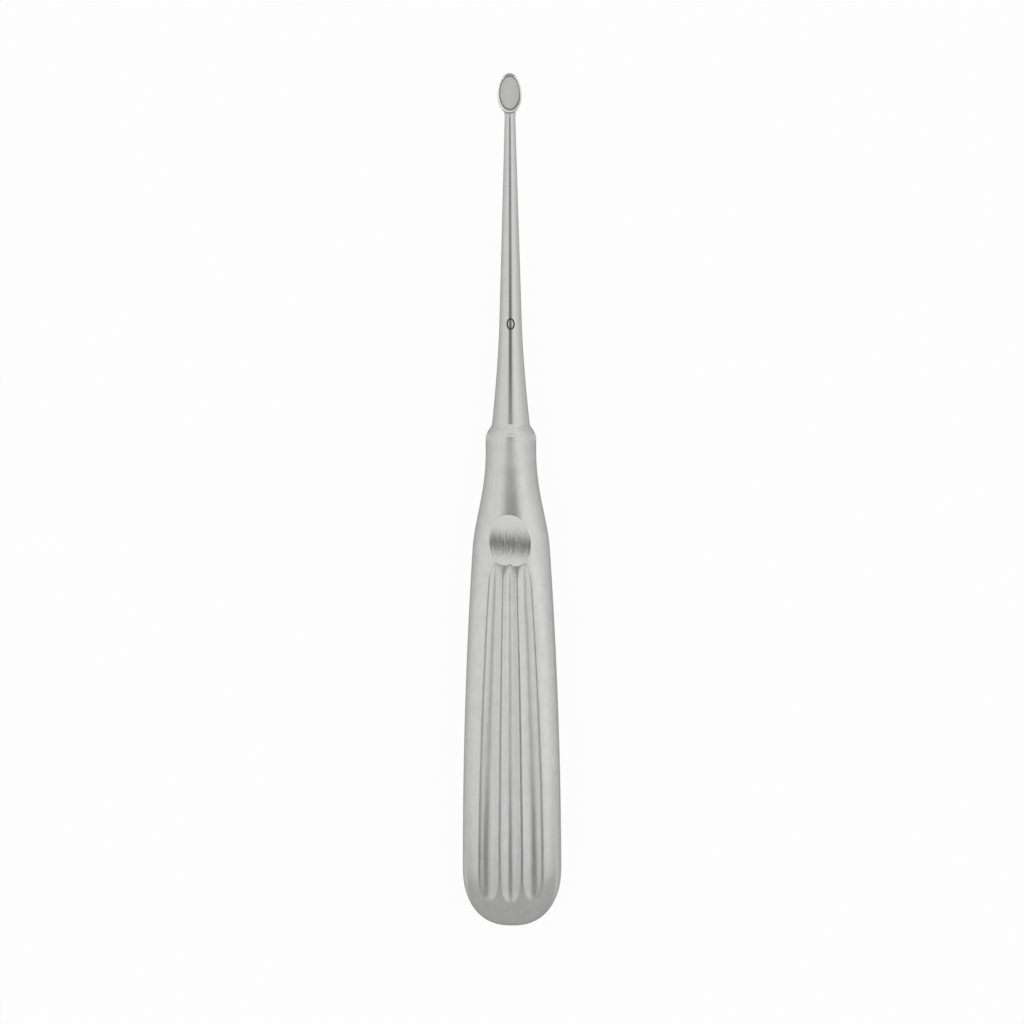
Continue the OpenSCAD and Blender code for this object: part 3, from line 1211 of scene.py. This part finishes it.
@dataclass(frozen=True)
class SpoonShank:
    """The shank with the spoon at its end, forged and turned in one piece."""

    shank: TurnedShank
    spoon: OvalSpoon

    piece_name: ClassVar[str] = "shank_with_spoon"
    node_name: ClassVar[str] = "spoon_shank"
    sharp_from: ClassVar[float] = math.radians(20)

    def tree(self, turned: bpy.types.Material, polish_and_highlight: bpy.types.Material, edge_shade: bpy.types.Material,
             blasted: bpy.types.Material, wall: bpy.types.Material) -> ShapeTree:
        """Writes the shape of the shank and spoon as a node tree.

        Args:
            turned: Finish of the shank and the bowl.
            polish_and_highlight: Finish of the bevel and the cutting edge: polished, and coloured lighter
                than the other steel as a painted highlight.
            edge_shade: Finish of the bevel at the tip and at the heel, coloured darker as painted shade.
            blasted: Finish of the hollow.
            wall: Painted shade on the steep wall just inside the cutting edge: a darker finish that stands
                in for shade.

        Returns:
            The tree.
        """
        sizes = {field.name: float(getattr(self.spoon, field.name))
                 for field in dataclasses.fields(self.spoon)}
        tree = ShapeTree("shank_with_spoon_shape", sizes)
        spoon = dataclasses.replace(self.spoon, **tree.formulas())
        whole = tree.combined(self.shank.turned(tree), spoon.bowl(tree), Cut.JOIN)
        cut = tree.combined(whole, spoon.hollow(tree), Cut.REMOVE)
        along = tree.position()[1]
        coarse = smooth((along - (self.shank.seat + self.shank.coarse_from)) / self.shank.coarse_run)
        painted = tree.painted(tree.coarsened(tree.realized(cut), coarse), turned)
        beyond = along.apply("GREATER_THAN", spoon.middle - spoon.rear_length)
        on_bevel = spoon.on_bevel(tree) * beyond
        # Painted highlight: the bevel and the cutting edge are polished and also coloured lighter than the
        # other steel.
        painted = tree.painted(painted, polish_and_highlight, on_bevel)
        # Painted shade: the bevel at the tip and at the heel is coloured darker.
        painted = tree.painted(painted, edge_shade, on_bevel * spoon.in_painted_shade(tree))
        hollow = spoon.in_hollow(tree) * beyond
        painted = tree.painted(painted, blasted, hollow)
        # Painted shade: the steep wall just inside the cutting edge is coloured dark.
        tree.deliver(tree.painted(painted, wall, hollow * spoon.on_wall(tree)))
        return tree

    def build(self) -> bpy.types.Object:
        """Makes the shank with its spoon and dresses it.

        Returns:
            The finished piece.
        """
        turned = Steel("turned_steel", tone=0.56, roughness=0.2, coarsening=0.06, mottle=0.1,
                       grain=0.00016)
        # Polished, with its tone raised above the other steel as a painted highlight.
        polish_and_highlight = Steel("polished_edge_painted_highlight", tone=0.8, roughness=0.14, mottle=0.02, grain_height=0.0000002)
        # Painted shade: a darker copy of the edge's steel, standing in for shade at the tip and the heel.
        edge_shade = Steel("edge_painted_shade", tone=0.4, roughness=0.3, grain=0.00006)
        blasted = Steel("blasted_hollow", tone=0.68, metallic=0.4, roughness=0.7, grain=0.00006)
        # Painted shade: a dark copy of the hollow's finish for its steep wall.
        wall = Steel("hollow_wall_painted_shade", tone=0.33, metallic=0.4, roughness=0.5, grain=0.00006)
        tree = self.tree(turned.material(), polish_and_highlight.material(), edge_shade.material(), blasted.material(),
                         wall.material())
        piece = tree.build(self.piece_name, self.shank.chain())
        soften(piece.data, self.sharp_from)
        settle(piece, self.node_name)
        return piece


@dataclass(frozen=True)
class SizeMark:
    """The small oval ring that is marked on the shank."""

    shank: TurnedShank
    beyond: float = 0.0219
    aside: float = 0.00012
    width: float = 0.00166
    height: float = 0.00234
    line: float = 0.0003
    stand: float = 0.000008
    sink: float = 0.00002

    piece_name: ClassVar[str] = "size_mark"
    steps: ClassVar[int] = 96
    cross_steps: ClassVar[int] = 4

    def point(self, angle: float, inset: float, lift: float) -> tuple[float, float, float]:
        """Gives a point on the ring.

        Args:
            angle: Angle round the ring in radians.
            inset: Distance in from the ring's outer edge.
            lift: Height above the shank.

        Returns:
            The point in the row frame.
        """
        x = self.aside + (self.width / 2 - inset) * math.cos(angle)
        beyond = self.beyond + (self.height / 2 - inset) * math.sin(angle)
        radius = self.shank.radius(beyond) + lift
        return x, self.shank.seat + beyond, self.shank.axis_height + math.sqrt(radius ** 2 - x ** 2)

    def build(self, finish: bpy.types.Material) -> bpy.types.Object:
        """Makes the ring as a thin closed band that follows the shank.

        Args:
            finish: Finish of the mark.

        Returns:
            The finished piece.
        """
        insets = [self.line * i / self.cross_steps for i in range(self.cross_steps + 1)]
        section = [(inset, self.stand) for inset in insets]
        section += [(inset, -self.sink) for inset in reversed(insets)]
        corners = len(section)
        points = [self.point(FULL_TURN * step / self.steps, inset, lift)
                  for step in range(self.steps) for inset, lift in section]
        faces = []
        for step in range(self.steps):
            here = step * corners
            there = (step + 1) % self.steps * corners
            for corner in range(corners):
                after = (corner + 1) % corners
                faces.append((here + corner, there + corner, there + after, here + after))
        mesh = bpy.data.meshes.new(self.piece_name)
        mesh.from_pydata(points, [], faces)
        mesh.materials.append(finish)
        piece = bpy.data.objects.new(self.piece_name, mesh)
        bpy.context.scene.collection.objects.link(piece)
        soften(mesh, math.radians(40))
        settle(piece)
        return piece


@dataclass(frozen=True)
class MarkOxide:
    """The dark oxide that a marking laser leaves on steel."""

    tone: float = 0.02
    roughness: float = 0.7

    def material(self) -> bpy.types.Material:
        """Builds the finish.

        Returns:
            The material.
        """
        made = bpy.data.materials.new("mark_oxide")
        tree = ShaderTree(made)
        tone = (tree.noise(0.0001) + 0.5) * self.tone
        colour = tree.node("ShaderNodeCombineColor", {"Red": tone, "Green": tone, "Blue": tone})
        shader = tree.node("ShaderNodeBsdfPrincipled", {
            "Base Color": colour.outputs[0], "Roughness": self.roughness})
        tree.node("ShaderNodeOutputMaterial", {"Surface": shader.outputs[0]})
        return made


def settle(piece: bpy.types.Object, node: Optional[str] = None) -> None:
    """Fixes a finished piece to the frame and reports it.

    Args:
        piece: The piece.
        node: The CAD node that it stands for.
    """
    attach(piece, "root")
    if node is not None:
        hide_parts(node)
    piece.data.calc_loop_triangles()
    log.info("%s: %d triangles", piece.name, len(piece.data.loop_triangles))


# Studio


@dataclass(frozen=True)
class Studio:
    """The white floor, the light tent round the instrument and the camera above it."""

    picture_width: float = 0.2041
    distance: float = 2.0
    sensor: float = 36.0
    tilt_right: float = math.radians(3.0)
    tilt_up: float = math.radians(2.2)
    roll: float = math.radians(0.16)
    aim: tuple[float, float, float] = (0.0002, -0.0024, 0.006)
    floor_size: float = 3.0
    floor_tone: float = 0.6
    floor_glow: float = 0.96
    floor_gloss: float = 0.6
    card_reach: float = 0.1
    card_half_width: float = 0.2
    card_gap: float = 0.0005
    card_level: float = 0.565
    opening_width: float = math.radians(15.5)
    opening_height: float = math.radians(10.5)
    opening_right: float = math.radians(0.5)
    opening_up: float = math.radians(1.8)
    opening_blur: float = 0.5
    opening_level: float = 0.02
    left_level: float = 1.03
    right_level: float = 1.04
    strip_level: float = 0.1
    horizon_level: float = 0.92
    horizon_reach: float = math.radians(48)
    strip_angle: float = math.radians(45)
    strip_width: float = math.radians(30)

    def camera(self) -> bpy.types.Object:
        """Sets the camera above the instrument.

        Returns:
            The camera.
        """
        data = bpy.data.cameras.new("camera")
        data.sensor_width = self.sensor
        data.lens = self.sensor * self.distance / self.picture_width
        data.clip_end = 10 * self.distance
        camera = bpy.data.objects.new("camera", data)
        bpy.context.scene.collection.objects.link(camera)
        back = Vector((math.tan(self.tilt_right), math.tan(self.tilt_up), 1.0)).normalized()
        up = Vector((math.sin(self.roll), math.cos(self.roll), 0.0))
        up = (up - back * up.dot(back)).normalized()
        turn = Matrix((up.cross(back), up, back)).transposed().to_4x4()
        camera.matrix_world = Matrix.Translation(Vector(self.aim) + back * self.distance) @ turn
        bpy.context.scene.camera = camera
        return camera

    def floor(self) -> bpy.types.Object:
        """Lays the white floor that the instrument lies on.

        Returns:
            The floor.
        """
        half = self.floor_size / 2
        mesh = bpy.data.meshes.new("floor")
        mesh.from_pydata([(-half, -half, 0), (half, -half, 0), (half, half, 0), (-half, half, 0)],
                         [], [(0, 1, 2, 3)])
        made = bpy.data.materials.new("floor_white")
        tree = ShaderTree(made)
        diffuse = tree.node("ShaderNodeBsdfDiffuse", {"Color": (*[self.floor_tone] * 3, 1.0)})
        glow = tree.node("ShaderNodeEmission", {"Strength": 1.0})
        both = tree.node("ShaderNodeMixShader", {"Fac": self.glow_share(tree)})
        tree.tree.links.new(diffuse.outputs[0], both.inputs[1])
        tree.tree.links.new(glow.outputs[0], both.inputs[2])
        tree.node("ShaderNodeOutputMaterial", {"Surface": both.outputs[0]})
        mesh.materials.append(made)
        floor = bpy.data.objects.new("floor", mesh)
        bpy.context.scene.collection.objects.link(floor)
        return floor

    def card(self, butt: float) -> bpy.types.Object:
        """Stands a grey card below the butt, which only shows as a reflection in the steel.

        Args:
            butt: Place of the butt along Y.

        Returns:
            The card.
        """
        half = self.card_half_width
        y = butt - self.card_gap
        mesh = bpy.data.meshes.new("grey_card")
        mesh.from_pydata([(-half, y, 0), (-half, y, self.card_reach), (half, y, self.card_reach),
                          (half, y, 0)], [], [(0, 1, 2, 3)])
        made = bpy.data.materials.new("card_grey")
        tree = ShaderTree(made)
        glow = tree.node("ShaderNodeEmission", {"Strength": self.card_level})
        tree.node("ShaderNodeOutputMaterial", {"Surface": glow.outputs[0]})
        mesh.materials.append(made)
        card = bpy.data.objects.new("grey_card", mesh)
        bpy.context.scene.collection.objects.link(card)
        card.visible_camera = False
        card.visible_diffuse = False
        card.visible_shadow = False
        return card

    def glow_share(self, tree: ShaderTree) -> Formula:
        """Tells how much of the floor's look is plain white, so that the shadow on it stays faint.

        Args:
            tree: The floor's tree.

        Returns:
            A share for the rays from the camera, another for those from a gloss or a glass, else 0.
        """
        path = tree.node("ShaderNodeLightPath", {})
        gloss = tree.output(path, "Is Glossy Ray") + tree.output(path, "Is Transmission Ray")
        return tree.output(path, "Is Camera Ray") * self.floor_glow + clamped(gloss) * self.floor_gloss

    def tent(self) -> bpy.types.World:
        """Puts up the light tent, with the dark opening that the camera looks through.

        Returns:
            The world.
        """
        world = bpy.data.worlds.new("light_tent")
        tree = ShaderTree(world)
        direction = tree.node("ShaderNodeTexCoord", {}).outputs["Generated"]
        parts = tree.node("ShaderNodeSeparateXYZ", {"Vector": direction})
        x, y, z = (Formula(tree.tree, output) for output in parts.outputs)
        above = z.apply("GREATER_THAN", 0.0)
        right = x.apply("ARCTAN2", z)
        up = y.apply("ARCTAN2", z)
        across = (right - self.opening_right) / self.opening_width
        along = (up - self.opening_up) / self.opening_height
        reach = (across * across + along * along) ** 0.5
        opening = (1.0 - smooth((reach - (1.0 - self.opening_blur)) / (2 * self.opening_blur))) * above
        side = mix(self.left_level, self.right_level, smooth((x + 1.0) / 2.0))
        strip = (right - self.strip_angle) / self.strip_width
        strip = smooth(1.0 - absolute(strip)) * self.strip_level
        tent = (side + strip * above) * mix(
            self.horizon_level, 1.0, smooth(z / math.sin(self.horizon_reach)))
        level = mix(tent, self.opening_level, opening)
        camera_ray = tree.output(tree.node("ShaderNodeLightPath", {}), "Is Camera Ray")
        light = tree.node("ShaderNodeBackground", {
            "Color": (1.0, 1.0, 1.0, 1.0), "Strength": mix(level, 1.0, camera_ray)})
        tree.node("ShaderNodeOutputWorld", {"Surface": light.outputs[0]})
        bpy.context.scene.world = world
        return world


def main() -> None:
    """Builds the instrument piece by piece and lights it."""
    logging.basicConfig(level=logging.INFO, format="%(name)s: %(message)s")
    bpy.context.scene.view_settings.view_transform = "Standard"
    studio = Studio()
    studio.camera()
    studio.floor()
    studio.tent()
    place = Placement.from_frame()
    studio.card(place.butt)
    handle = FlutedHandle(butt=place.butt, axis_height=place.axis_height, length=place.handle_length)
    handle.build()
    spoon = OvalSpoon(
        middle=place.butt + place.overall_length - OvalSpoon.front_length,
        axis_height=place.axis_height)
    seat = place.butt + place.handle_length
    shank = TurnedShank(
        seat=seat,
        length=spoon.middle - spoon.rear_length - TurnedShank.heel_length / 2 - seat,
        axis_height=place.axis_height)
    SpoonShank(shank, spoon).build()
    SizeMark(shank).build(MarkOxide().material())


if __name__ == "__main__":
    main()
